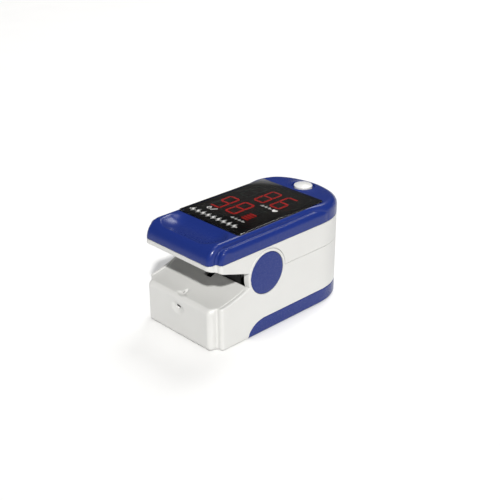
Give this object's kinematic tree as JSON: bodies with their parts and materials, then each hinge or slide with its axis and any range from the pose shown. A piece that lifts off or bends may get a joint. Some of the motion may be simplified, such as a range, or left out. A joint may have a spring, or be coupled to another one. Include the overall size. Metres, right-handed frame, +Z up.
{
  "type": "fingertip pulse oximeter",
  "caption": "Sprung finger clip with a windowed number display, a power button, round hinge caps, silicone finger pads and a slide-off battery cover.",
  "frame": {"origin": "centre of the footprint's bounding box, on the table surface", "axes": "+X to the right across the body, +Y from the lever end to the finger end, +Z up"},
  "size_m": [0.031, 0.058, 0.0329],
  "materials": {
    "white_housing": "warm white moulded ABS, fine satin texture",
    "blue_cover": "royal blue moulded ABS, satin gloss",
    "black_inner": "black matt moulded plastic",
    "black_silicone": "black matt silicone rubber",
    "window_tint": "dark tinted acrylic, polished",
    "sensor_window": "clear acrylic",
    "button_white": "white glossy plastic",
    "steel": "bright zinc-plated or spring steel",
    "circuit_board": "green solder-mask laminate",
    "display_body": "dark grey-green display housing",
    "lit_red": "red light-emitting segments",
    "unlit_grey": "unlit translucent segments",
    "chip_black": "black epoxy package",
    "component_tan": "ceramic chip components",
    "connector_cream": "cream nylon",
    "led_package": "pale epoxy light source package",
    "flex_film": "dark flexible printed cable",
    "cell_sleeve": "copper-coloured printed sleeve, plain"
  },
  "bodies": {
    "lower_body": {"lower_shell": "white_housing", "sensor_tray": "black_inner", "lower_finger_pad": "black_silicone", "detector_board": "circuit_board", "photodiode": "chip_black", "detector_window": "sensor_window", "battery_left": "cell_sleeve", "battery_right": "cell_sleeve", "front_contacts": "steel", "rear_contact": "steel", "contact_springs": "steel", "tray_screws": "steel", "hinge_axle": "steel", "hinge_cap_left": "blue_cover", "hinge_cap_right": "blue_cover", "torsion_spring_left": "steel", "torsion_spring_right": "steel", "flex_cable": "flex_film"},
    "upper_jaw": {"upper_shell": "white_housing", "top_cover": "blue_cover", "display_window": "window_tint", "window_frame": "black_inner", "main_board": "circuit_board", "display_module": "display_body", "lit_segments": "lit_red", "unlit_segments": "unlit_grey", "level_bars": "lit_red", "microcontroller": "chip_black", "board_components": "component_tan", "crystal": "steel", "tact_switch": "black_inner", "cable_connector": "connector_cream", "board_screws": "steel", "cover_screws": "steel", "emitter_board": "circuit_board", "emitter_leds": "led_package", "emitter_window": "sensor_window", "upper_finger_pad": "black_silicone"},
    "button": {"power_button": "button_white", "switch_plunger": "connector_cream"},
    "battery_door": {"battery_cover": "blue_cover"}
  },
  "joints": [
    {"name": "jaw_open", "type": "hinge", "parent": "lower_body", "child": "upper_jaw", "pos_m": [0, -0.00855, 0.01875], "axis": [1, 0, 0], "range_deg": [0, 20], "stiffness_Nm_per_rad": 0.2, "springref_deg": -28.65, "deforming": ["torsion_spring_left", "torsion_spring_right", "flex_cable"]},
    {"name": "button_press", "type": "slide", "parent": "upper_jaw", "child": "button", "axis": [0, 0, -1], "range_m": [0, 0.0004], "stiffness_N_per_m": 800},
    {"name": "door_slide", "type": "slide", "parent": "lower_body", "child": "battery_door", "axis": [0, 1, 0], "range_m": [0, 0.048]}
  ]
}
